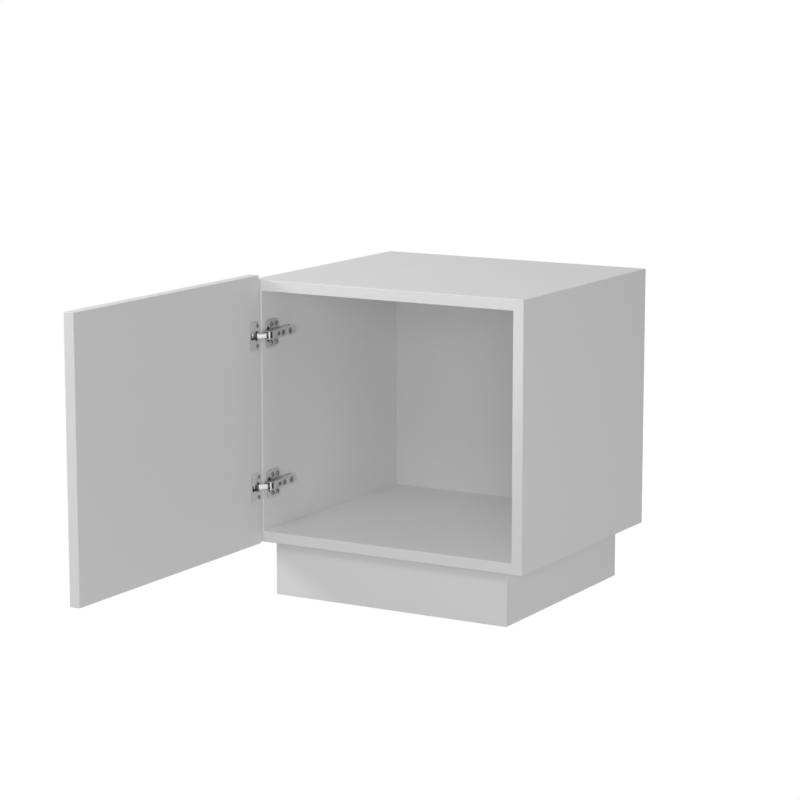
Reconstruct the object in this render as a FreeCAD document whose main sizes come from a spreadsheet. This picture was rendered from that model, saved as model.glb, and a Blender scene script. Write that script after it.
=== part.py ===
"""Storage side table with a door: a mitred white cabinet on a set-back plinth.

Millimetres. X runs along the width to the right, Y to the back, Z up. The origin is on the
floor, under the middle of the front plinth board. The door stands open at a right angle: that
is the rest position, and the door closes by turning +90 degrees about the hinge pins.
"""
import FreeCAD, Part
import Sketcher
import os
import re

os.makedirs("parts", exist_ok=True)
doc = FreeCAD.newDocument("side_table")

# ---------------------------------------------------------------- driving dimensions
SIZES = {
    # cabinet
    "carcass_width": 520,
    "carcass_depth": 466,
    "carcass_height": 456,
    "board_thick": 19,
    "edge_ease": 1,
    "back_thick": 8,
    "back_rebate": 10,
    "back_fit": 0.5,
    "spline_thick": 4,
    "spline_width": 12,
    "spline_setback": 16,
    "spline_stop": 30,
    "groove_fit": 0.1,
    # plinth
    "plinth_height": 94,
    "plinth_side_inset": 35,
    "plinth_front_inset": 15,
    "plinth_back_inset": 35,
    "block_side": 30,
    "block_lift": 6,
    "block_screw_grip": 38,
    "block_screw_length": 52,
    "block_screw_radius": 2.2,
    "block_screw_head": 4.2,
    "block_access_radius": 5,
    # door
    "door_overhang": 0.5,
    "door_upstand": 8.5,
    "door_drop": 2,
    "closed_gap": 3,
    # where the hinge pins stand in the door: in from its edge and in from its inner face
    "pivot_inset": 7.8,
    "pivot_depth": 9,
    "upper_hinge_drop": 95,
    "lower_hinge_rise": 98.5,
    # hinge cup
    "cup_edge_gap": 2.6,
    "cup_radius": 13,
    "cup_fit": 0.1,
    "cup_depth": 12.5,
    "cup_wall": 0.8,
    "flange_thick": 1,
    "flange_height": 51.5,
    "flange_corner": 6,
    "flange_lap": 0.2,
    "mouth_wide": 17,
    "mouth_wide_length": 10.2,
    "mouth_narrow": 11,
    "mouth_length": 23.6,
    "mouth_corner": 1.5,
    "mouth_notch": 2.5,
    "cup_screw_inset": 7,
    "cup_screw_spacing": 35,
    "cup_screw_radius": 1.6,
    "cup_screw_head": 3.5,
    "cup_screw_pan": 1,
    "cup_screw_length": 12,
    "spring_thick": 0.6,
    "spring_width": 7,
    "spring_length": 15,
    "spring_clear": 0.4,
    "spring_lip": 1.6,
    # cranked link and pin
    "pin_radius": 1.2,
    "pin_fit": 0.05,
    "knuckle_radius": 2.4,
    "link_width": 9,
    "link_thick": 2.2,
    "link_bend": 3,
    "link_inner_bend": 0.8,
    "link_reach": 10.8,
    "link_inner_reach": 9.7,
    "link_lean": 1.43,
    "link_seat_low": 4.5,
    "link_seat_top": 9,
    "link_seat_front": 1.2,
    "link_low_front": -1,
    "link_tail": 26,
    "rivet_radius": 1.5,
    "rivet_front": 12,
    "rivet_rear": 21.5,
    "rivet_proud": 0.6,
    "rivet_head": 2.3,
    # arm
    "arm_front": 2,
    "arm_back": 53,
    "arm_width": 14,
    "arm_wall": 1.3,
    "arm_top": 13.8,
    "arm_foot": 3.2,
    "arm_bend": 1.5,
    "arm_slot_front": 6.3,
    "arm_slot_length": 6.4,
    "arm_slot_width": 11,
    # mounting plate
    "plate_thick": 2.5,
    "wing_height": 50,
    "wing_front": 11,
    "wing_back": 51,
    "wing_corner": 9,
    "spine_width": 16,
    "spine_corner": 4,
    "ridge_front": 27.3,
    "ridge_back": 88,
    "ridge_fit": 0.2,
    "tail_gap": 1,
    "tail_corner": 2.5,
    "peg_radius": 2.2,
    "peg_front": 15,
    "peg_spacing": 21,
    "peg_length": 8,
    "peg_proud": 1.2,
    "plate_screw_front": 26.5,
    "plate_screw_pitch": 15,
    "plate_screw_spacing": 32,
    "plate_screw_radius": 2.2,
    "plate_screw_head": 3.7,
    "plate_screw_pan": 1.8,
    "plate_screw_length": 14,
    # set screws of the arm
    "overlay_screw_place": 32,
    "overlay_screw_head": 3.2,
    "locking_screw_place": 46.5,
    "locking_screw_head": 4.2,
    "depth_screw_place": 70.5,
    "depth_screw_head": 4.8,
    "depth_screw_room": 0.6,
    "set_screw_radius": 2.4,
    "set_screw_head_thick": 1,
    "set_screw_length": 9,
    # shared by the screws
    "screw_fit": 0.05,
    "screw_recess": 0.9,
    "pan_ease": 0.9,
    # back panel screws
    "back_screw_edge": 5,
    "back_screw_end": 60,
    "back_screw_radius": 1.5,
    "back_screw_head": 3,
    "back_screw_length": 24,
}

sheet = doc.addObject("Spreadsheet::Sheet", "Sizes")
for row, (alias, value) in enumerate(SIZES.items(), start=1):
    sheet.set(f"A{row}", alias)
    sheet.set(f"B{row}", str(value))
    sheet.setAlias(f"B{row}", alias)
doc.recompute()

# ---------------------------------------------------------------- places worked out from them
LEFT = "(-carcass_width / 2)"
RIGHT = "(carcass_width / 2)"
FRONT = "(-plinth_front_inset - board_thick / 2)"
BACK = f"({FRONT} + carcass_depth)"
BOTTOM = "plinth_height"
TOP = "(plinth_height + carcass_height)"
INNER_LEFT = f"({LEFT} + board_thick)"
INNER_RIGHT = f"({RIGHT} - board_thick)"
BACK_PANEL_FRONT = f"({BACK} - back_thick)"

PLINTH_LEFT = f"({LEFT} + plinth_side_inset)"
PLINTH_RIGHT = f"({RIGHT} - plinth_side_inset)"
PLINTH_FRONT = "(-board_thick / 2)"
PLINTH_BACK = f"({BACK} - plinth_back_inset)"

PIVOT_X = f"({LEFT} - door_overhang + pivot_inset)"
PIVOT_Y = f"({FRONT} - closed_gap - pivot_depth)"
DOOR_FACE = f"({PIVOT_X} + pivot_depth)"
DOOR_EDGE = f"({PIVOT_Y} + pivot_inset)"
DOOR_WIDTH = "(carcass_width + 2 * door_overhang)"

HINGE_HEIGHTS = {
    "upper": f"({TOP} - upper_hinge_drop)",
    "lower": f"({BOTTOM} + lower_hinge_rise)",
}

OVER = "5"           # how far a cutting tool runs past the face that it cuts
HALF_DIAGONAL = "sqrt(2) / 2"

# ---------------------------------------------------------------- small helpers
ALIAS = re.compile(r"[a-z]\w*(?!\w*\()")
POINTING = {
    "+x": FreeCAD.Rotation(FreeCAD.Vector(0, 1, 0), 90),
    "-x": FreeCAD.Rotation(FreeCAD.Vector(0, 1, 0), -90),
    "+y": FreeCAD.Rotation(FreeCAD.Vector(1, 0, 0), -90),
    "-y": FreeCAD.Rotation(FreeCAD.Vector(1, 0, 0), 90),
    "+z": FreeCAD.Rotation(),
    "-z": FreeCAD.Rotation(FreeCAD.Vector(1, 0, 0), 180),
}
subparts = []


def size(alias):
    """The value of one driving dimension."""
    return float(sheet.get(alias))


def bound(text):
    """The expression in which every alias of text reads its cell."""
    return ALIAS.sub(lambda word: f"{sheet.Name}.{word.group(0)}", text)


def bind(thing, **sizes):
    """Tie properties of an object to expressions over the sheet."""
    for name, text in sizes.items():
        thing.setExpression(name, bound(text))
    return thing


def place(thing, x, y, z, rotation=None):
    """Put an object's own origin at x, y, z, turned by rotation."""
    if rotation is not None:
        thing.Placement = FreeCAD.Placement(FreeCAD.Vector(), rotation)
    for axis, text in zip("xyz", (x, y, z)):
        thing.setExpression(f"Placement.Base.{axis}", bound(text))
    return thing


def box(name, x, y, z):
    """A box between a low and a high value on each axis."""
    block = doc.addObject("Part::Box", name)
    bind(
        block,
        Length=f"({x[1]}) - ({x[0]})",
        Width=f"({y[1]}) - ({y[0]})",
        Height=f"({z[1]}) - ({z[0]})",
    )
    return place(block, x[0], y[0], z[0])


def middle(centre, width):
    """The low and high values of a span about its centre."""
    return (f"({centre} - ({width}) / 2)", f"({centre} + ({width}) / 2)")


def cylinder(name, pointing, radius, length, x, y, z):
    """A round bar that starts at x, y, z and runs the way it points."""
    bar = doc.addObject("Part::Cylinder", name)
    bind(bar, Radius=radius, Height=length)
    return place(bar, x, y, z, POINTING[pointing])


def joined(name, pieces):
    """One object of several shapes: a fused solid, or separate solids that don't touch."""
    fusion = doc.addObject("Part::MultiFuse", name)
    fusion.Shapes = pieces
    return fusion


def cut(name, base, tools):
    """The base less every tool."""
    result = doc.addObject("Part::Cut", name)
    result.Base = base
    result.Tool = joined(f"{name}_tools", tools) if len(tools) > 1 else tools[0]
    return result


def eased(name, base, radius, picked):
    """The base with the edges that picked chooses rounded to a driving dimension."""
    doc.recompute()
    fillet = doc.addObject("Part::Fillet", name)
    fillet.Base = base
    fillet.Edges = [
        (number, size(radius), size(radius))
        for number, edge in enumerate(base.Shape.Edges, start=1)
        if picked(edge)
    ]
    return fillet


def along(direction):
    """A test for straight edges that run along one axis."""
    axis = FreeCAD.Vector(*(float(name == direction) for name in "xyz"))

    def runs(edge):
        span = edge.Vertexes[-1].Point - edge.Vertexes[0].Point
        return span.Length > 0 and abs(span.normalize().dot(axis)) > 0.999

    return runs


def rounded_box(name, x, y, z, direction, radius):
    """A box whose four edges along one axis are rounded."""
    return eased(name, box(f"{name}_blank", x, y, z), radius, along(direction))


def prism(name, plane, points, length):
    """A body: a straight-sided profile drawn on one of its origin planes and padded."""
    body = doc.addObject("PartDesign::Body", name)
    flat = next(item for item in body.Origin.OriginFeatures if item.Role == plane)
    profile = body.newObject("Sketcher::SketchObject", f"{name}_profile")
    profile.AttachmentSupport = (flat, [""])
    profile.MapMode = "FlatFace"
    count = len(points)
    corners = [FreeCAD.Vector(*(measured(text) for text in point), 0) for point in points]
    for index, corner in enumerate(corners):
        profile.addGeometry(Part.LineSegment(corner, corners[(index + 1) % count]), False)
    for index, point in enumerate(points):
        profile.addConstraint(Sketcher.Constraint("Coincident", index, 2, (index + 1) % count, 1))
        for kind, text in zip(("DistanceX", "DistanceY"), point):
            number = profile.addConstraint(
                Sketcher.Constraint(kind, -1, 1, index, 1, measured(text))
            )
            profile.setExpression(f"Constraints[{number}]", bound(text))
    pad = body.newObject("PartDesign::Pad", f"{name}_pad")
    pad.Profile = profile
    pad.setExpression("Length", bound(length))
    pad.Midplane = True
    body.Tip = pad
    return body


def measured(text):
    """The value of an expression over the sheet, for a profile's first drawing."""
    return float(sheet.evalExpression(text))


def part(label, shape):
    """Mark an object as one sub-part and name it."""
    shape.Label = label
    subparts.append(shape)
    return shape


def common(name, base, tool):
    """What two objects share."""
    result = doc.addObject("Part::Common", name)
    result.Base = base
    result.Tool = tool
    return result


def screw(name, pointing, radius, head, length, x, y, z):
    """A countersunk cross-recess screw: x, y, z is the middle of its flat head."""
    sink = f"({head} - {radius})"
    cone = doc.addObject("Part::Cone", f"{name}_head")
    bind(cone, Radius1=head, Radius2=radius, Height=sink)
    shank = cylinder(f"{name}_shank", "+z", radius, f"{length} - {sink}", "0", "0", sink)
    blades = [
        box(f"{name}_blade_{turn}", *spans)
        for turn, spans in enumerate(crossed(f"1.2 * {head}", "screw_recess"))
    ]
    solid = cut(name, joined(f"{name}_blank", [cone, shank]), blades)
    return place(solid, x, y, z, POINTING[pointing])


def crossed(length, width):
    """The spans of the two blades of a cross recess, sunk from above the head."""
    deep = ("-screw_recess", "1.4 * screw_recess")
    long_way = middle("0", length)
    short_way = middle("0", width)
    return [(long_way, short_way, deep), (short_way, long_way, deep)]


def screw_hole(name, pointing, radius, head, length, x, y, z):
    """The hole of such a screw, larger all round by the screw fit and open above the head."""
    sink = f"({head} - {radius})"
    cone = doc.addObject("Part::Cone", f"{name}_sink")
    bind(cone, Radius1=f"{head} + screw_fit", Radius2=f"{radius} + screw_fit", Height=sink)
    mouth = cylinder(f"{name}_mouth", "-z", f"{head} + screw_fit", OVER, "0", "0", "0")
    bore = cylinder(f"{name}_bore", "+z", f"{radius} + screw_fit", length, "0", "0", "0")
    return place(joined(name, [cone, mouth, bore]), x, y, z, POINTING[pointing])


def pan_screw(name, radius, head, height, length, x, y, z):
    """A pan-headed cross-recess screw that points to the left; x is the face under its head."""
    disc = cylinder(f"{name}_disc", "-z", head, height, "0", "0", "0")
    pan = eased(f"{name}_pan", disc, "pan_ease", lambda edge: lies_at(edge, "z", -size(height)))
    shank = cylinder(f"{name}_shank", "+z", radius, length, "0", "0", "0")
    blades = []
    for turn, (across, along_it, _) in enumerate(crossed(f"1.2 * {head}", "screw_recess")):
        deep = (f"-2 * {height}", f"screw_recess - {height}")
        blades.append(box(f"{name}_blade_{turn}", across, along_it, deep))
    solid = cut(name, joined(f"{name}_blank", [pan, shank]), blades)
    return place(solid, x, y, z, POINTING["-x"])


def pan_screw_hole(name, radius, length, x, y, z):
    """The plain hole of such a screw, larger all round by the screw fit."""
    foot = f"({x} - {length})"
    return cylinder(name, "+x", f"{radius} + screw_fit", f"{length} + {OVER}", foot, y, z)


def set_screw(name, head, x, y, z):
    """A flat-headed machine screw that points at the side board; x is under its head."""
    disc = cylinder(f"{name}_head", "-z", head, "set_screw_head_thick", "0", "0", "0")
    shank = cylinder(f"{name}_shank", "+z", "set_screw_radius", "set_screw_length", "0", "0", "0")
    blades = []
    for turn, (across, along_it, _) in enumerate(crossed("2 * set_screw_radius", "screw_recess")):
        deep = ("-2 * set_screw_head_thick", "0")
        blades.append(box(f"{name}_blade_{turn}", across, along_it, deep))
    solid = cut(name, joined(f"{name}_blank", [disc, shank]), blades)
    return place(solid, x, y, z, POINTING["-x"])


# ---------------------------------------------------------------- cabinet: four mitred boards
def lies_at(edge, axis, value):
    """True if both ends of an edge have one coordinate."""
    return all(abs(getattr(corner.Point, axis) - value) < 1e-6 for corner in edge.Vertexes)


def outer_arris(edge, spans):
    """True if an edge is one of the twelve of the box with these spans."""
    faces = [(axis, measured(text)) for axis, span in spans.items() for text in span]
    return sum(lies_at(edge, axis, value) for axis, value in faces) == 2


carcass_spans = {"x": (LEFT, RIGHT), "y": (FRONT, BACK), "z": (BOTTOM, TOP)}
carcass_box = box("carcass_box", *carcass_spans.values())
hollow_z = (f"{BOTTOM} + board_thick", f"{TOP} - board_thick")
carcass_hollow = box(
    "carcass_hollow",
    (INNER_LEFT, INNER_RIGHT),
    (f"{FRONT} - {OVER}", f"{BACK} + {OVER}"),
    hollow_z,
)
rebate = box(
    "rebate",
    (f"{INNER_LEFT} - back_rebate", f"{INNER_RIGHT} + back_rebate"),
    (BACK_PANEL_FRONT, f"{BACK} + {OVER}"),
    (f"{hollow_z[0]} - back_rebate", f"{hollow_z[1]} + back_rebate"),
)
carcass_shell = eased(
    "carcass_shell",
    cut("carcass_sharp", carcass_box, [carcass_hollow, rebate]),
    "edge_ease",
    lambda edge: outer_arris(edge, carcass_spans) or lies_at(edge, "y", measured(FRONT)),
)

# the outer corner of each mitre
MITRES = {
    "top_left": (LEFT, TOP),
    "top_right": (RIGHT, TOP),
    "bottom_right": (RIGHT, BOTTOM),
    "bottom_left": (LEFT, BOTTOM),
}

# how an outer face of the cabinet or plinth looks inwards, as a sign on its own axis
INWARD = {
    LEFT: 1,
    RIGHT: -1,
    BOTTOM: 1,
    TOP: -1,
    PLINTH_LEFT: 1,
    PLINTH_RIGHT: -1,
    PLINTH_FRONT: 1,
    PLINTH_BACK: -1,
}


def tongue(name, corner, fit):
    """The loose tongue that lies across a mitre, or with a fit the groove for it."""
    x, z = corner
    along_mitre = f"(spline_setback - spline_thick / 2 - {fit})"
    across_mitre = f"(-spline_width / 2 - {fit})"
    strip = doc.addObject("Part::Box", name)
    bind(
        strip,
        Length=f"spline_thick + 2 * {fit}",
        Width=f"carcass_depth - back_thick - 2 * spline_stop + 2 * {fit}",
        Height=f"spline_width + 2 * {fit}",
    )
    diagonal = FreeCAD.Vector(INWARD[x], 0, INWARD[z])
    return place(
        strip,
        f"{x} + ({INWARD[x]} * {along_mitre} - {INWARD[z]} * {across_mitre}) * {HALF_DIAGONAL}",
        f"{FRONT} + spline_stop - {fit}",
        f"{z} + ({INWARD[z]} * {along_mitre} + {INWARD[x]} * {across_mitre}) * {HALF_DIAGONAL}",
        FreeCAD.Rotation(FreeCAD.Vector(1, 0, 0), diagonal),
    )


def mitred_board(name, ring, plane, start, end, length, x="0", y="0", z="0"):
    """The stretch of a ring of boards between the mitres at two of its outer corners."""

    def on_mitre(corner, depth):
        return tuple(f"{text} + ({INWARD[text]} * ({depth}))" for text in corner)

    outside = f"-{OVER}"
    inside = f"board_thick + {OVER}"
    points = [
        on_mitre(start, outside),
        on_mitre(end, outside),
        on_mitre(end, inside),
        on_mitre(start, inside),
    ]
    wedge = place(prism(f"{name}_wedge", plane, points, f"{length} + 2 * {OVER}"), x, y, z)
    return common(f"{name}_blank", ring, wedge)


carcass_boards = {
    "top_board": ((LEFT, TOP), (RIGHT, TOP)),
    "right_side": ((RIGHT, TOP), (RIGHT, BOTTOM)),
    "bottom_board": ((RIGHT, BOTTOM), (LEFT, BOTTOM)),
    "left_side": ((LEFT, BOTTOM), (LEFT, TOP)),
}
blanks = {
    name: mitred_board(
        name, carcass_shell, "XZ_Plane", *ends, "carcass_depth", y=f"{FRONT} + carcass_depth / 2"
    )
    for name, ends in carcass_boards.items()
}
tools = {name: [] for name in carcass_boards}

for name, corner in MITRES.items():
    part(f"spline_{name}", tongue(f"spline_{name}", corner, "0"))
    groove = tongue(f"groove_{name}", corner, "groove_fit")
    for board, ends in carcass_boards.items():
        if corner in ends:
            tools[board].append(groove)

# ---------------------------------------------------------------- back panel and its screws
back_blank = box(
    "back_blank",
    (f"{INNER_LEFT} - back_rebate + back_fit", f"{INNER_RIGHT} + back_rebate - back_fit"),
    (BACK_PANEL_FRONT, BACK),
    (f"{hollow_z[0]} - back_rebate + back_fit", f"{hollow_z[1]} + back_rebate - back_fit"),
)
side_rows = (f"{BOTTOM} + back_screw_end", f"{BOTTOM} + carcass_height / 2", f"{TOP} - back_screw_end")
level_rows = ("-carcass_width / 6", "carcass_width / 6")
back_screw_spots = {
    "left_side": [(f"{INNER_LEFT} - back_screw_edge", z) for z in side_rows],
    "right_side": [(f"{INNER_RIGHT} + back_screw_edge", z) for z in side_rows],
    "bottom_board": [(x, f"{hollow_z[0]} - back_screw_edge") for x in level_rows],
    "top_board": [(x, f"{hollow_z[1]} + back_screw_edge") for x in level_rows],
}
BACK_SCREW = ("-y", "back_screw_radius", "back_screw_head", "back_screw_length")
back_screws = []
back_holes = []
for board, spots in back_screw_spots.items():
    for number, (x, z) in enumerate(spots):
        name = f"back_screw_{board}_{number}"
        back_screws.append(screw(name, *BACK_SCREW, x, BACK, z))
        hole = screw_hole(f"{name}_hole", *BACK_SCREW, x, BACK, z)
        back_holes.append(hole)
        tools[board].append(hole)
part("back_panel", cut("back_panel", back_blank, back_holes))
part("back_panel_screws", joined("back_panel_screws", back_screws))

# ---------------------------------------------------------------- plinth: boards, blocks, screws
plinth_spans = {
    "x": (PLINTH_LEFT, PLINTH_RIGHT),
    "y": (PLINTH_FRONT, PLINTH_BACK),
    "z": ("0", "plinth_height"),
}
plinth_inner = {
    "x": (f"({PLINTH_LEFT} + board_thick)", f"({PLINTH_RIGHT} - board_thick)"),
    "y": (f"({PLINTH_FRONT} + board_thick)", f"({PLINTH_BACK} - board_thick)"),
}
plinth_ring = eased(
    "plinth_ring",
    cut(
        "plinth_sharp",
        box("plinth_box", *plinth_spans.values()),
        [box("plinth_hollow", *plinth_inner.values(), (f"-{OVER}", f"plinth_height + {OVER}"))],
    ),
    "edge_ease",
    lambda edge: outer_arris(edge, plinth_spans) and not lies_at(edge, "z", size("plinth_height")),
)
plinth_boards = {
    "plinth_front": ((PLINTH_LEFT, PLINTH_FRONT), (PLINTH_RIGHT, PLINTH_FRONT)),
    "plinth_right": ((PLINTH_RIGHT, PLINTH_FRONT), (PLINTH_RIGHT, PLINTH_BACK)),
    "plinth_back": ((PLINTH_RIGHT, PLINTH_BACK), (PLINTH_LEFT, PLINTH_BACK)),
    "plinth_left": ((PLINTH_LEFT, PLINTH_BACK), (PLINTH_LEFT, PLINTH_FRONT)),
}
for name, ends in plinth_boards.items():
    board = mitred_board(name, plinth_ring, "XY_Plane", *ends, "plinth_height", z="plinth_height / 2")
    part(name, board)

BLOCK_SCREW = ("+z", "block_screw_radius", "block_screw_head", "block_screw_length")
block_screw_foot = "(plinth_height - block_screw_grip)"
block_screws = []
for side, x, x_sign in (("left", plinth_inner["x"][0], 1), ("right", plinth_inner["x"][1], -1)):
    for end, y, y_sign in (("front", plinth_inner["y"][0], 1), ("back", plinth_inner["y"][1], -1)):
        name = f"corner_block_{end}_{side}"
        centre = (f"({x} + {x_sign} * block_side / 2)", f"({y} + {y_sign} * block_side / 2)")
        blank = box(
            f"{name}_blank",
            middle(centre[0], "block_side"),
            middle(centre[1], "block_side"),
            ("block_lift", "plinth_height"),
        )
        access = cylinder(
            f"{name}_access", "-z", "block_access_radius", "plinth_height", *centre, block_screw_foot
        )
        hole = screw_hole(f"{name}_hole", *BLOCK_SCREW, *centre, block_screw_foot)
        part(name, cut(name, blank, [access, hole]))
        tools["bottom_board"].append(hole)
        block_screws.append(screw(f"{name}_screw", *BLOCK_SCREW, *centre, block_screw_foot))
part("corner_block_screws", joined("corner_block_screws", block_screws))

# ---------------------------------------------------------------- hinges
CUP_Y = f"({DOOR_EDGE} - cup_edge_gap - cup_radius)"
CUP_OUTER = "(cup_radius - cup_fit)"
CUP_INNER = "(cup_radius - cup_fit - cup_wall)"
CUP_FLOOR = f"({DOOR_FACE} - cup_depth + cup_wall)"
CUP_SCREW = ("cup_screw_radius", "cup_screw_head", "cup_screw_pan", "cup_screw_length")
CUP_HOLE = ("cup_screw_radius", "cup_screw_length")
PLATE_SCREW = ("plate_screw_radius", "plate_screw_head", "plate_screw_pan", "plate_screw_length")
PLATE_HOLE = ("plate_screw_radius", "plate_screw_length")
ARM_UNDER = f"({INNER_LEFT} + arm_top - arm_wall)"
ARM_TOP = f"({INNER_LEFT} + arm_top)"
ARM_INSIDE = "(arm_width - 2 * arm_wall)"
door_tools = []


def cup(side, z):
    """The pressed cup with its flange, its two screws, its pin and its closing spring."""
    shell = cylinder(
        f"{side}_cup_shell", "+x", CUP_OUTER, "cup_depth", f"{DOOR_FACE} - cup_depth", CUP_Y, z
    )
    flange = rounded_box(
        f"{side}_flange",
        (DOOR_FACE, f"{DOOR_FACE} + flange_thick"),
        (f"{CUP_Y} - cup_radius - flange_lap", f"{CUP_Y} + cup_radius"),
        middle(z, "flange_height"),
        "x",
        "flange_corner",
    )
    hollow = cylinder(
        f"{side}_cup_hollow", "+x", CUP_INNER, "cup_depth - cup_wall", CUP_FLOOR, CUP_Y, z
    )
    mouth_edge = f"({CUP_Y} + {CUP_INNER})"
    through = (DOOR_FACE, f"{DOOR_FACE} + flange_thick + {OVER}")
    mouth = common(
        f"{side}_mouth",
        cylinder(f"{side}_mouth_round", "+x", CUP_INNER, f"cup_depth + {OVER}", CUP_FLOOR, CUP_Y, z),
        joined(
            f"{side}_mouth_shape",
            [
                rounded_box(
                    f"{side}_mouth_wide",
                    through,
                    (f"{mouth_edge} - mouth_wide_length", f"{mouth_edge} + {OVER}"),
                    middle(z, "mouth_wide"),
                    "x",
                    "mouth_corner",
                ),
                rounded_box(
                    f"{side}_mouth_narrow",
                    through,
                    (f"{mouth_edge} - mouth_length", f"{mouth_edge} + {OVER}"),
                    middle(z, "mouth_narrow"),
                    "x",
                    "mouth_corner",
                ),
            ],
        ),
    )
    notch = box(
        f"{side}_notch",
        (f"{DOOR_FACE} - mouth_notch", f"{DOOR_FACE} + flange_thick + {OVER}"),
        (f"{mouth_edge} - mouth_wide_length / 2", f"{DOOR_EDGE} + {OVER}"),
        middle(z, "mouth_narrow"),
    )
    pin_hole = cylinder(
        f"{side}_pin_hole",
        "+z",
        "pin_radius + screw_fit",
        "2 * cup_radius",
        PIVOT_X,
        PIVOT_Y,
        f"{z} - cup_radius",
    )
    screws = []
    holes = []
    face = f"({DOOR_FACE} + flange_thick)"
    for end, sign in (("top", 1), ("bottom", -1)):
        spot = (face, f"{DOOR_EDGE} - cup_screw_inset", f"{z} + {sign} * cup_screw_spacing / 2")
        screws.append(pan_screw(f"{side}_cup_screw_{end}", *CUP_SCREW, *spot))
        holes.append(pan_screw_hole(f"{side}_cup_screw_hole_{end}", *CUP_HOLE, *spot))
    body = joined(f"{side}_cup_blank", [shell, flange])
    body_tools = [hollow, mouth, notch, pin_hole, *holes]
    part(f"{side}_cup", cut(f"{side}_cup", body, body_tools))
    part(f"{side}_cup_screws", joined(f"{side}_cup_screws", screws))
    pin = common(
        f"{side}_pivot_pin",
        cylinder(
            f"{side}_pin_bar", "+z", "pin_radius", "2 * cup_radius", PIVOT_X, PIVOT_Y, f"{z} - cup_radius"
        ),
        cylinder(
            f"{side}_pin_reach", "+x", CUP_OUTER, "cup_depth", f"{DOOR_FACE} - cup_depth", CUP_Y, z
        ),
    )
    part(f"{side}_pivot_pin", pin)

    spring_front = f"({PIVOT_Y} - knuckle_radius - spring_clear)"
    spring_end = f"({spring_front} - spring_length)"
    leaf = box(
        f"{side}_leaf",
        (CUP_FLOOR, f"{CUP_FLOOR} + spring_thick"),
        (spring_end, spring_front),
        middle(z, "spring_width"),
    )
    lip = box(
        f"{side}_leaf_lip",
        (CUP_FLOOR, f"{CUP_FLOOR} + spring_lip"),
        (spring_end, f"{spring_end} + spring_thick"),
        middle(z, "spring_width"),
    )
    part(f"{side}_closing_spring", joined(f"{side}_closing_spring", [leaf, lip]))

    bore = cylinder(
        f"{side}_cup_bore",
        "+x",
        "cup_radius",
        f"cup_depth + cup_fit + {OVER}",
        f"{DOOR_FACE} - cup_depth - cup_fit",
        CUP_Y,
        z,
    )
    door_tools.extend([bore, *holes])


def link(side, z):
    """The cranked link: its knuckle turns on the pin, and its tail is riveted into the arm."""
    inner_x = "(board_thick + door_overhang - pivot_inset)"
    front_y = "(closed_gap + pivot_depth)"
    half = "link_thick / 2"
    points = [
        ("0", f"-{half}"),
        ("link_reach", f"link_lean - {half}"),
        (f"{inner_x} + link_seat_top", f"{front_y} + link_seat_front"),
        (f"{inner_x} + link_seat_top", f"{front_y} + link_tail"),
        (f"{inner_x} + link_seat_low", f"{front_y} + link_tail"),
        (f"{inner_x} + link_seat_low", f"{front_y} + link_low_front"),
        ("link_inner_reach", f"link_lean + {half}"),
        ("0", half),
    ]
    bar = place(prism(f"{side}_link_bar", "XY_Plane", points, "link_width"), PIVOT_X, PIVOT_Y, z)
    doc.recompute()

    def is_bend(edge, low_y, high_y):
        spot = edge.CenterOfMass - FreeCAD.Vector(measured(PIVOT_X), measured(PIVOT_Y), 0)
        in_reach = measured(low_y) < spot.y < measured(high_y)
        return along("z")(edge) and spot.x > size("link_thick") and in_reach

    smooth = eased(
        f"{side}_link_bent",
        bar,
        "link_bend",
        lambda edge: is_bend(edge, "link_lean - link_thick", "link_lean")
        or is_bend(edge, "link_lean + link_thick", f"{front_y} + link_tail - {half}"),
    )
    smooth = eased(
        f"{side}_link_smooth",
        smooth,
        "link_inner_bend",
        lambda edge: is_bend(edge, "link_lean", "link_lean + link_thick"),
    )
    bottom = f"({z} - link_width / 2)"
    knuckle = cylinder(
        f"{side}_knuckle", "+z", "knuckle_radius", "link_width", PIVOT_X, PIVOT_Y, bottom
    )
    bore = cylinder(
        f"{side}_knuckle_bore",
        "+z",
        "pin_radius + pin_fit",
        f"link_width + 2 * {OVER}",
        PIVOT_X,
        PIVOT_Y,
        f"{bottom} - {OVER}",
    )
    rivet_x = f"({INNER_LEFT} + (link_seat_low + link_seat_top) / 2)"
    rivets = []
    rivet_holes = []
    for number, depth in enumerate(("rivet_front", "rivet_rear")):
        y = f"({FRONT} + {depth})"
        shaft_half = "(arm_width / 2)"
        shank = cylinder(
            f"{side}_rivet_shank_{number}",
            "+z",
            "rivet_radius",
            f"2 * {shaft_half}",
            rivet_x,
            y,
            f"{z} - {shaft_half}",
        )
        heads = [
            cylinder(f"{side}_rivet_head_{number}_{way[1:]}{sign}", way, "rivet_head", "rivet_proud",
                     rivet_x, y, f"{z} {sign} {shaft_half}")
            for way, sign in (("+z", "+"), ("-z", "-"))
        ]
        rivets.append(joined(f"{side}_rivet_{number}", [shank, *heads]))
        rivet_holes.append(
            cylinder(
                f"{side}_rivet_hole_{number}",
                "+z",
                "rivet_radius + screw_fit",
                f"2 * {shaft_half} + 2 * {OVER}",
                rivet_x,
                y,
                f"{z} - {shaft_half} - {OVER}",
            )
        )
    body = joined(f"{side}_link_blank", [smooth, knuckle])
    part(f"{side}_link", cut(f"{side}_link", body, [bore, *rivet_holes]))
    part(f"{side}_link_rivets", joined(f"{side}_link_rivets", rivets))
    return rivet_holes


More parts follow.
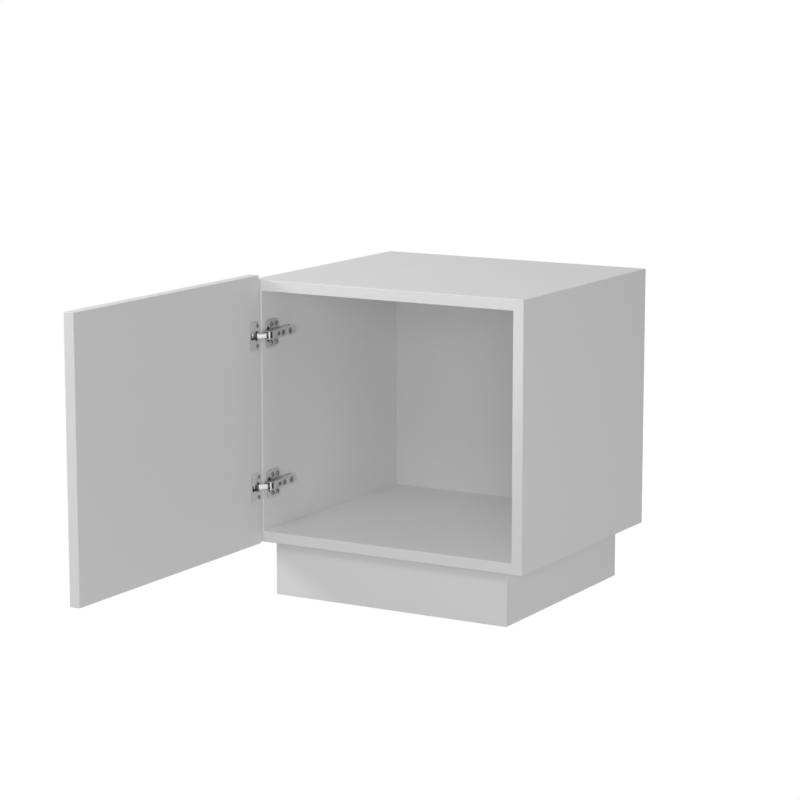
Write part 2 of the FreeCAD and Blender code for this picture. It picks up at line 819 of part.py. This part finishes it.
def arm_and_plate(side, z, rivet_holes):
    """The channel arm and the mounting plate that it is screwed to, with their screws."""
    sleeve = box(
        f"{side}_arm_sleeve",
        (f"{INNER_LEFT} + arm_foot", ARM_TOP),
        (f"{FRONT} + arm_front", f"{FRONT} + arm_back"),
        middle(z, "arm_width"),
    )
    shaped = eased(
        f"{side}_arm_shaped",
        sleeve,
        "arm_bend",
        lambda edge: lies_at(edge, "x", measured(ARM_TOP)),
    )
    channel = box(
        f"{side}_arm_channel",
        (f"{INNER_LEFT} + arm_foot - {OVER}", ARM_UNDER),
        (f"{FRONT} + arm_front - {OVER}", f"{FRONT} + arm_back + {OVER}"),
        middle(z, ARM_INSIDE),
    )
    slot = rounded_box(
        f"{side}_arm_slot",
        (f"{ARM_UNDER} - {OVER}", f"{ARM_TOP} + {OVER}"),
        (f"{FRONT} + arm_slot_front", f"{FRONT} + arm_slot_front + arm_slot_length"),
        middle(z, "arm_slot_width"),
        "x",
        "mouth_corner",
    )
    set_screws = {
        "overlay_screw": ARM_TOP,
        "locking_screw": ARM_TOP,
        "depth_screw": f"({ARM_UNDER} - set_screw_head_thick)",
    }
    set_holes = []
    for name, seat in set_screws.items():
        spot = (seat, f"{FRONT} + {name}_place", z)
        part(f"{side}_{name}", set_screw(f"{side}_{name}", f"{name}_head", *spot))
        set_holes.append(
            cylinder(
                f"{side}_{name}_hole",
                "-x",
                "set_screw_radius + screw_fit",
                f"set_screw_length + screw_fit + {OVER}",
                f"{seat} + {OVER}",
                *spot[1:],
            )
        )
    locking_slot = box(
        f"{side}_locking_slot",
        (f"{ARM_UNDER} - {OVER}", f"{ARM_TOP} + {OVER}"),
        (f"{FRONT} + locking_screw_place", f"{FRONT} + arm_back + {OVER}"),
        middle(z, "2 * (set_screw_radius + screw_fit)"),
    )
    arm_tools = [channel, slot, locking_slot, *set_holes[:2], *rivet_holes]
    part(f"{side}_arm", cut(f"{side}_arm", shaped, arm_tools))

    flat = (INNER_LEFT, f"{INNER_LEFT} + plate_thick")
    wings = rounded_box(
        f"{side}_wings",
        flat,
        (f"{FRONT} + wing_front", f"{FRONT} + wing_back"),
        middle(z, "wing_height"),
        "x",
        "wing_corner",
    )
    spine = rounded_box(
        f"{side}_spine",
        flat,
        (f"{FRONT} + wing_front", f"{FRONT} + ridge_back"),
        middle(z, "spine_width"),
        "x",
        "spine_corner",
    )
    ridge = box(
        f"{side}_ridge",
        (f"{INNER_LEFT} + plate_thick", ARM_UNDER),
        (f"{FRONT} + ridge_front", f"{FRONT} + ridge_back"),
        middle(z, f"{ARM_INSIDE} - 2 * ridge_fit"),
    )
    tail = rounded_box(
        f"{side}_tail",
        (f"{INNER_LEFT} + plate_thick / 2", ARM_UNDER),
        (f"{FRONT} + arm_back + tail_gap", f"{FRONT} + ridge_back"),
        middle(z, "arm_width"),
        "x",
        "tail_corner",
    )
    screw_room = cylinder(
        f"{side}_depth_screw_room",
        "+x",
        "depth_screw_head + depth_screw_room",
        OVER,
        set_screws["depth_screw"],
        f"{FRONT} + depth_screw_place",
        z,
    )
    screws = []
    pegs = []
    holes = []
    plate_tools = [screw_room]
    face = f"({INNER_LEFT} + plate_thick)"
    for end, sign in (("top", 1), ("bottom", -1)):
        for row in (0, 1):
            name = f"{side}_plate_screw_{end}_{row}"
            spot = (
                face,
                f"{FRONT} + plate_screw_front + {row} * plate_screw_pitch",
                f"{z} + {sign} * plate_screw_spacing / 2",
            )
            screws.append(pan_screw(name, *PLATE_SCREW, *spot))
            holes.append(pan_screw_hole(f"{name}_hole", *PLATE_HOLE, *spot))
        peg = (f"{FRONT} + peg_front", f"{z} + {sign} * peg_spacing / 2")
        foot = f"{face} + peg_proud - peg_length"
        pegs.append(cylinder(f"{side}_peg_{end}", "+x", "peg_radius", "peg_length", foot, *peg))
        holes.append(
            cylinder(
                f"{side}_peg_hole_{end}", "+x", "peg_radius + screw_fit", f"peg_length + {OVER}", foot, *peg
            )
        )
    blank = joined(f"{side}_plate_blank", [wings, spine, ridge, tail])
    plate_tools += [*holes, *set_holes]
    part(f"{side}_mounting_plate", cut(f"{side}_mounting_plate", blank, plate_tools))
    part(f"{side}_plate_screws", joined(f"{side}_plate_screws", screws))
    part(f"{side}_locating_pegs", joined(f"{side}_locating_pegs", pegs))
    tools["left_side"].extend(holes)


for side, z in HINGE_HEIGHTS.items():
    cup(side, z)
    arm_and_plate(side, z, link(side, z))

# ---------------------------------------------------------------- door and drilled boards
door_spans = {
    "x": (f"{DOOR_FACE} - board_thick", DOOR_FACE),
    "y": (f"{DOOR_EDGE} - {DOOR_WIDTH}", DOOR_EDGE),
    "z": (f"{BOTTOM} - door_drop", f"{TOP} + door_upstand"),
}
door_blank = eased(
    "door_blank",
    box("door_box", *door_spans.values()),
    "edge_ease",
    lambda edge: outer_arris(edge, door_spans),
)
part("door_panel", cut("door_panel", door_blank, door_tools))
for name, blank in blanks.items():
    part(name, cut(name, blank, tools[name]))

# ---------------------------------------------------------------- check and write
doc.recompute()
failed = [item.Name for item in doc.Objects if {"Invalid", "Error"} & set(item.State)]
if failed:
    raise RuntimeError(f"these objects failed: {failed}")
for shape in subparts:
    if shape.Shape.isNull() or not shape.Shape.isValid():
        raise RuntimeError(f"{shape.Label} has no valid shape")
for shape in subparts:
    shape.Shape.exportStep(f"parts/{shape.Label}.step")
    print(f"{shape.Label}: {len(shape.Shape.Solids)} solid(s), {shape.Shape.Volume:.0f} mm3")
print(f"{len(subparts)} sub-parts")
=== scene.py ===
# %% [markdown]
# # A white side table with a door, dressed over its construction model
#
# The construction model already holds every board, pin and screw at its real size. This lesson
# keeps the boards as they are, because a flat lacquered board is a flat box with eased edges,
# and gives its time to two things that the eye goes to: the lacquer, and the small pressed,
# cast and turned pieces of the two hinges.

# %% Load the construction model
import math

import bmesh
import bpy
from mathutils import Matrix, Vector


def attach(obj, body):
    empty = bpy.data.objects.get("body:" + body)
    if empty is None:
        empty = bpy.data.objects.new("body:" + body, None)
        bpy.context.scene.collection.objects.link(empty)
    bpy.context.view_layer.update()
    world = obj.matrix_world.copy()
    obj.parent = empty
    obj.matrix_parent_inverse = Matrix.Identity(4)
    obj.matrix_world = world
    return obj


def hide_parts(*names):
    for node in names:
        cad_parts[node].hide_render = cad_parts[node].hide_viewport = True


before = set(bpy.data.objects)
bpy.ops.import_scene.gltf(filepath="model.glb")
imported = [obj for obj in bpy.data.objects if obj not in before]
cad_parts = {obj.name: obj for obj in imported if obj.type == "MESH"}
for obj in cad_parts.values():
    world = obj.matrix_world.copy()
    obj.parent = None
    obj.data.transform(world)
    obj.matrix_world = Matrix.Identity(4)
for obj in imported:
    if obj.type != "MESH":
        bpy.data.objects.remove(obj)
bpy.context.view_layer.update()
MM = 0.001

# %% [markdown]
# ## The camera
#
# The table is seen from its right and a little above, through a long lens: its upright edges
# stay nearly parallel. A camera takes its focal length and sensor in millimetres, so a 120 mm
# lens on a 36 mm sensor is set directly. It is turned 30 degrees to the left of straight on and
# tipped 10 degrees down, with no roll and no shift.

# %% Camera
LENS_MM = 120
SENSOR_MM = 36
CAMERA_PLACE = (2.2111, -3.8011, 1.1357)
TURNED_LEFT = math.radians(30)
TIPPED_DOWN = math.radians(10)
LOOKING_LEVEL = math.radians(90)
FAR_CLIP = 200

camera_data = bpy.data.cameras.new("studio_camera")
camera_data.lens = LENS_MM
camera_data.sensor_width = SENSOR_MM
camera_data.clip_end = FAR_CLIP
camera = bpy.data.objects.new("studio_camera", camera_data)
camera.location = CAMERA_PLACE
camera.rotation_euler = (LOOKING_LEVEL - TIPPED_DOWN, 0, TURNED_LEFT)
bpy.context.scene.collection.objects.link(camera)
bpy.context.scene.camera = camera
bpy.context.scene.view_settings.view_transform = "Standard"
print(f"{camera.name}: {LENS_MM} mm lens at {CAMERA_PLACE}")

# %% [markdown]
# ## Helpers for materials
#
# A colour is written as an sRGB hex value, as it would be read off a paint card, and one
# function turns it to the linear numbers that the shader works in. One more function adds a
# node with its settings and its links, so that a material reads as a short list of nodes. It
# takes a socket by its name, with _ for each space, or by its number, such as _0, where several
# sockets of a node share one name.


# %% Colour and node helpers
def linear(hex_value):
    """An sRGB hex value such as "F2F2F0" as linear red, green, blue and alpha."""
    channels = [int(hex_value[i : i + 2], 16) / 255 for i in (0, 2, 4)]
    return [c / 12.92 if c <= 0.04045 else ((c + 0.055) / 1.055) ** 2.4 for c in channels] + [1]


def add(tree, kind, settings=None, **inputs):
    """Add a node. A value given for a socket is set on it, and another node's socket is linked."""
    node = tree.nodes.new(kind)
    for name, value in (settings or {}).items():
        setattr(node, name, value)
    for name, value in inputs.items():
        place = int(name[1:]) if name[1:].isdigit() else name.replace("_", " ")
        socket = node.inputs[place]
        if isinstance(value, bpy.types.NodeSocket):
            tree.links.new(value, socket)
        else:
            socket.default_value = value
    return node


def new_material(name):
    """An empty node material, its tree and its Principled shader, already wired to the output."""
    material = bpy.data.materials.new(name)
    material.use_nodes = True
    tree = material.node_tree
    return material, tree, tree.nodes["Principled BSDF"]


def set_shader(shader, **values):
    """Set plain values on the shader's own sockets."""
    for name, value in values.items():
        shader.inputs[name.replace("_", " ")].default_value = value


# %% [markdown]
# ## White lacquered board
#
# The boards are fibreboard, sprayed with white two-part lacquer and left satin. Sprayed lacquer
# never dries quite flat: it keeps a faint ripple a few millimetres across, called orange peel,
# which breaks up its reflections. Handling leaves the gloss a little uneven. Both are far
# weaker than the colour, so the noise drives only a small bump and a small roughness range.

# %% Lacquer
MM_PER_METRE = 1000
CLOUD_MM = 180
RIPPLE_HEIGHT_MM = 0.012
GLOSS_SPREAD = 0.04
LACQUER_IOR = 1.5


def sprayed_lacquer(name, shade, low_shade, roughness, ripple_mm):
    """White sprayed lacquer: broad clouds of tone and gloss, and a fine ripple."""
    material, tree, shader = new_material(name)
    place = add(tree, "ShaderNodeTexCoord").outputs["Object"]
    clouds = add(
        tree, "ShaderNodeTexNoise", Vector=place, Scale=MM_PER_METRE / CLOUD_MM, Detail=3.0
    )
    ripple = add(
        tree,
        "ShaderNodeTexNoise",
        Vector=place,
        Scale=MM_PER_METRE / ripple_mm,
        Detail=1.0,
        Roughness=0.4,
    )
    tone = add(
        tree,
        "ShaderNodeMix",
        {"data_type": "RGBA"},
        _0=clouds.outputs["Fac"],
        _6=linear(low_shade),
        _7=linear(shade),
    )
    gloss = add(
        tree,
        "ShaderNodeMapRange",
        Value=clouds.outputs["Fac"],
        To_Min=roughness - GLOSS_SPREAD,
        To_Max=roughness + GLOSS_SPREAD,
    )
    bump = add(
        tree,
        "ShaderNodeBump",
        Height=ripple.outputs["Fac"],
        Distance=RIPPLE_HEIGHT_MM * MM,
        Strength=1.0,
    )
    tree.links.new(tone.outputs["Result"], shader.inputs["Base Color"])
    tree.links.new(gloss.outputs["Result"], shader.inputs["Roughness"])
    tree.links.new(bump.outputs["Normal"], shader.inputs["Normal"])
    set_shader(shader, IOR=LACQUER_IOR)
    return material


white_lacquer = sprayed_lacquer("white_satin_lacquer", "F6F6F6", "F4F4F4", 0.42, 3.0)
white_back = sprayed_lacquer("white_melamine_back", "F2F2F2", "F0F0F0", 0.55, 1.5)
print("boards:", white_lacquer.name, "and", white_back.name)

# %% [markdown]
# ## Metals of the hinge
#
# The cup, link and arm are pressed from steel strip and nickel plated. Nickel is a warm, fairly
# bright metal. Rolling leaves fine lines along the strip, and a noise that is drawn out along
# one axis gives those lines. Real ones are finer than a tenth of a millimetre: here they are 0.6
# mm wide, so that they show from close by. The mounting plate is cast zinc under the same
# nickel, with a soft grain in place of lines, and the screws are steel with bright zinc.
#
# The hinge goes nearly black in its hollows, slots and gaps, and that darkening is painted shade.
# An ambient occlusion node measures how open each spot is within a few millimetres. The
# plating's colour is darkened towards a dark grey where that openness is small. The power of 1.2
# makes the change a little quicker.

# %% Metals
# reach, falloff and dark grey of the painted shade in the hinge's hollows
SHADE_REACH_MM = 6
SHADE_FALLOFF = 1.2
PAINTED_SHADE_COLOUR = linear("2A2A2B")
OCCLUSION_SAMPLES = 16
WORN_SHARE = 0.94
GLOSSIEST, DULLEST = 0.75, 1.25
LINES = (1, 0.08, 1)
GRAIN = (1, 1, 1)


def plated_metal(name, shade, roughness, grain_mm, stretch, height_mm):
    """Plated metal with rolling lines or a soft grain, and painted shade where it is shut in."""
    material, tree, shader = new_material(name)
    place = add(tree, "ShaderNodeTexCoord").outputs["Object"]
    lined = add(tree, "ShaderNodeMapping", Vector=place, Scale=stretch)
    grain = add(
        tree,
        "ShaderNodeTexNoise",
        Vector=lined.outputs["Vector"],
        Scale=MM_PER_METRE / grain_mm,
        Detail=2.0,
    )
    gloss = add(
        tree,
        "ShaderNodeMapRange",
        Value=grain.outputs["Fac"],
        To_Min=roughness * GLOSSIEST,
        To_Max=roughness * DULLEST,
    )
    tone = add(
        tree,
        "ShaderNodeMix",
        {"data_type": "RGBA"},
        _0=grain.outputs["Fac"],
        _6=[c * WORN_SHARE for c in linear(shade)[:3]] + [1],
        _7=linear(shade),
    )
    # painted shade: the colour darkens towards a dark grey where ambient occlusion finds the spot
    # shut in
    open_sky = add(
        tree,
        "ShaderNodeAmbientOcclusion",
        {"samples": OCCLUSION_SAMPLES},
        Distance=SHADE_REACH_MM * MM,
    ).outputs["AO"]
    openness = add(tree, "ShaderNodeMath", {"operation": "POWER"}, _0=open_sky, _1=SHADE_FALLOFF)
    painted_shade = add(
        tree,
        "ShaderNodeMix",
        {"data_type": "RGBA"},
        _0=openness.outputs["Value"],
        _6=PAINTED_SHADE_COLOUR,
        _7=tone.outputs["Result"],
    )
    bump = add(
        tree, "ShaderNodeBump", Height=grain.outputs["Fac"], Distance=height_mm * MM, Strength=1.0
    )
    tree.links.new(painted_shade.outputs["Result"], shader.inputs["Base Color"])
    tree.links.new(gloss.outputs["Result"], shader.inputs["Roughness"])
    tree.links.new(bump.outputs["Normal"], shader.inputs["Normal"])
    set_shader(shader, Metallic=1.0)
    return material


# name, shade, roughness, width of a line or grain in mm, its stretch, and its height in mm
nickel_steel = plated_metal("nickel_plated_steel_strip", "F3F3F2", 0.34, 0.6, LINES, 0.0006)
satin_nickel = plated_metal("satin_nickel_cup", "F6F6F5", 0.52, 0.6, LINES, 0.0006)
bright_nickel = plated_metal("bright_nickel_link", "D6D6D5", 0.3, 0.6, LINES, 0.0006)
nickel_zinc = plated_metal("nickel_plated_zinc_casting", "F6F6F5", 0.36, 0.5, GRAIN, 0.001)
zinc_screw = plated_metal("bright_zinc_plated_screw", "B4B5B8", 0.3, 0.4, GRAIN, 0.001)
spring_steel = plated_metal("bright_spring_steel", "D8D9DB", 0.3, 0.6, (1, 0.1, 1), 0.003)
blackened_steel = plated_metal("blackened_steel_pin", "4A4B4E", 0.32, 0.4, GRAIN, 0.001)
ground_steel = plated_metal("ground_steel_rivet", "A8A8A8", 0.3, 0.4, GRAIN, 0.001)
print(len(bpy.data.materials), "materials so far")

# %% [markdown]
# ## Bare wood inside
#
# The tongues in the mitres are hardboard and the corner blocks of the plinth are softwood.
# Softwood shows its yearly rings as darker lines along the block: a wave texture that a noise
# bends, stretched along the grain. At a scale of one that texture turns 20 radians in a metre,
# and a ring is one full turn, so the scale follows from the width of a ring.

# %% Bare wood
WAVE_RADIANS = 20
GRAIN_HEIGHT_MM = 0.05
BARE_ROUGHNESS = 0.7


def bare_wood(name, light, dark, ring_mm, along):
    """Unfinished wood with rings of two shades."""
    material, tree, shader = new_material(name)
    place = add(tree, "ShaderNodeTexCoord").outputs["Object"]
    stretched = add(tree, "ShaderNodeMapping", Vector=place, Scale=along)
    rings = add(
        tree,
        "ShaderNodeTexWave",
        {"wave_type": "RINGS", "rings_direction": "Z"},
        Vector=stretched.outputs["Vector"],
        Scale=math.tau * MM_PER_METRE / ring_mm / WAVE_RADIANS,
        Distortion=6.0,
        Detail=3.0,
        Detail_Scale=1.5,
    )
    tone = add(
        tree,
        "ShaderNodeMix",
        {"data_type": "RGBA"},
        _0=rings.outputs["Fac"],
        _6=linear(dark),
        _7=linear(light),
    )
    bump = add(
        tree, "ShaderNodeBump", Height=rings.outputs["Fac"], Distance=GRAIN_HEIGHT_MM * MM
    )
    tree.links.new(tone.outputs["Result"], shader.inputs["Base Color"])
    tree.links.new(bump.outputs["Normal"], shader.inputs["Normal"])
    set_shader(shader, Roughness=BARE_ROUGHNESS)
    return material


softwood = bare_wood("planed_spruce", "DDBE8C", "B98F58", 3.0, (1, 1, 0.15))
hardboard = bare_wood("bare_hardboard", "8A6A4A", "735539", 0.8, (1, 0.3, 1))
print("bare wood:", softwood.name, "and", hardboard.name)

# %% [markdown]
# ## Dress the construction nodes
#
# Every node's name says what it is, so a short table of name endings picks its material. Tongues
# and corner blocks go by how their names begin, and whatever is left is a lacquered board.

# %% Materials on the construction nodes
FINISHES = (
    ("_screws", zinc_screw),
    ("_screw", zinc_screw),
    ("_rivets", ground_steel),
    ("_pegs", blackened_steel),
    ("_pin", blackened_steel),
    ("_spring", spring_steel),
    ("_mounting_plate", nickel_zinc),
    ("_cup", satin_nickel),
    ("_arm", nickel_steel),
    ("_link", bright_nickel),
    ("back_panel", white_back),
)
for name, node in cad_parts.items():
    finish = next((made for ending, made in FINISHES if name.endswith(ending)), white_lacquer)
    if name.startswith("spline_"):
        finish = hardboard
    if name.startswith("corner_block") and not name.endswith("screws"):
        finish = softwood
    node.data.materials.clear()
    node.data.materials.append(finish)
print("dressed", len(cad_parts), "nodes")

# %% [markdown]
# ## Softened edges on the hinge
#
# No edge of a pressed or cast part is sharp: each keeps a radius of a few tenths of a millimetre
# that catches a thin line of light. Rounding every edge in the construction model would be slow
# and easy to break. A copy of its mesh can take it instead: its loose triangles are welded, flat
# neighbours become one face again, and the edges that still turn by more than 30 degrees get a
# small bevel. The copy stands in for the construction node and rides on the same body.

# %% Softened copies
SHARP_TURN = math.radians(30)
FLAT_TURN = math.radians(0.5)
WELD_MM = 0.002
EASE_MM = 0.25
BODY_OF = {"cup": "door", "link": "cabinet", "arm": "cabinet", "mounting_plate": "cabinet"}


def softened(name, body):
    """A copy of a construction node, on its body, with its sharp edges eased."""
    shape = bmesh.new()
    shape.from_mesh(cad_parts[name].data)
    bmesh.ops.remove_doubles(shape, verts=shape.verts, dist=WELD_MM * MM)
    bmesh.ops.dissolve_limit(shape, angle_limit=FLAT_TURN, verts=shape.verts, edges=shape.edges)
    sharp = [edge for edge in shape.edges if edge.calc_face_angle(0) > SHARP_TURN]
    bmesh.ops.bevel(
        shape,
        geom=sharp,
        offset=EASE_MM * MM,
        offset_type="OFFSET",
        affect="EDGES",
        segments=2,
        profile=0.5,
        material=-1,
        clamp_overlap=True,
    )
    mesh = bpy.data.meshes.new(f"{name}_softened")
    shape.to_mesh(mesh)
    shape.free()
    mesh.materials.append(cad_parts[name].data.materials[0])
    mesh.shade_smooth()
    mesh.set_sharp_from_angle(angle=SHARP_TURN)
    piece = bpy.data.objects.new(f"{name}_softened", mesh)
    bpy.context.scene.collection.objects.link(piece)
    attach(piece, body)
    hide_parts(name)
    return piece


for side in ("upper", "lower"):
    for kind, body in BODY_OF.items():
        piece = softened(f"{side}_{kind}", body)
        print(piece.name, len(piece.data.polygons), "faces")

# %% [markdown]
# ## Floor
#
# A white sweep of paper under the table, lit until it shows no edge and no shadow. A floor that
# only glows gives that look at once, so its paint is black and adds no light of its own. It would
# also light the table from below and hide it from the soft sky, so it is kept out of the diffuse
# and shadow rays. Glossy rays still find it: the bright paper is what the hinges' nickel mirrors.

# %% Floor
FLOOR_REACH = 60

floor_mesh = bpy.data.meshes.new("studio_floor")
shape = bmesh.new()
bmesh.ops.create_grid(shape, x_segments=1, y_segments=1, size=FLOOR_REACH)
shape.to_mesh(floor_mesh)
shape.free()
floor = bpy.data.objects.new("studio_floor", floor_mesh)
floor.visible_diffuse = False
floor.visible_shadow = False
bpy.context.scene.collection.objects.link(floor)
floor_paint, tree, shader = new_material("pale_studio_floor")
set_shader(shader, Base_Color=linear("000000"), Roughness=0.9, Specular_IOR_Level=0.0)
set_shader(shader, Emission_Color=linear("FFFFFF"), Emission_Strength=1.0)
floor_mesh.materials.append(floor_paint)
print(floor.name, "reaches", FLOOR_REACH, "m each way")

# %% [markdown]
# ## The soft sky
#
# The ceiling is white, the wall on the left is pale and the room falls off to grey on the right
# and at the back. A dot product of the direction with a slope gives such a smooth sky without any
# picture. The camera itself sees plain white there, so that a low view shows no grey band above
# the paper.

# %% Soft sky
SKY_LEVEL = 0.275
SKY_SLOPE = (-0.09, -0.05, 0.135)

world = bpy.data.worlds.new("studio_sky")
bpy.context.scene.world = world
world.use_nodes = True
tree = world.node_tree
direction = add(tree, "ShaderNodeTexCoord").outputs["Generated"]
slope = add(
    tree, "ShaderNodeVectorMath", {"operation": "DOT_PRODUCT"}, _0=direction, _1=SKY_SLOPE
).outputs["Value"]
level = add(tree, "ShaderNodeMath", {"operation": "ADD"}, _0=slope, _1=SKY_LEVEL)
seen = add(tree, "ShaderNodeLightPath").outputs["Is Camera Ray"]
strength = add(
    tree, "ShaderNodeMath", {"operation": "MAXIMUM"}, _0=level.outputs["Value"], _1=seen
)
background = tree.nodes["Background"]
background.inputs["Color"].default_value = linear("FFFFFF")
tree.links.new(strength.outputs["Value"], background.inputs["Strength"])
print(world.name, "at level", SKY_LEVEL)

# %% [markdown]
# ## Softboxes
#
# Square softboxes, a metre wide and about three metres off, shape the boards. One beside the
# camera fills the open cabinet, one high in front lights the front edges, one from the left goes
# in under the door to the plinth, and one high on the left keeps the top the brightest face. Two
# on the right keep the right side clean, and one behind is for the back panel alone. These three
# stay lower than the top, which would mirror them in a view from the other side.

# %% Softboxes
SOFTBOX_SIDE = 1.0
AIM = Vector((0, 0.1, 0.3))
SOFTBOXES = {
    "camera_side_softbox": ((1.576, -2.629, 0.856), 15.4),
    "front_right_softbox": ((2.729, -1.476, -0.02), 7.0),
    "right_softbox": ((3.151, 0.1, -0.02), 8.5),
    "high_front_softbox": ((0.0, -2.163, 2.563), 15.6),
    "high_left_softbox": ((-1.332, 0.335, 3.2), 19.4),
    "left_softbox": ((-2.512, -1.35, 1.652), 28.2),
    "back_softbox": ((-0.3, 3.2, 0.0), 15.0),
}
for name, (place, watts) in SOFTBOXES.items():
    light_data = bpy.data.lights.new(name, "AREA")
    light_data.size = SOFTBOX_SIDE
    light_data.energy = watts
    light = bpy.data.objects.new(name, light_data)
    light.location = place
    light.rotation_euler = (AIM - light.location).to_track_quat("-Z", "Y").to_euler()
    bpy.context.scene.collection.objects.link(light)
print(len(SOFTBOXES), "softboxes")
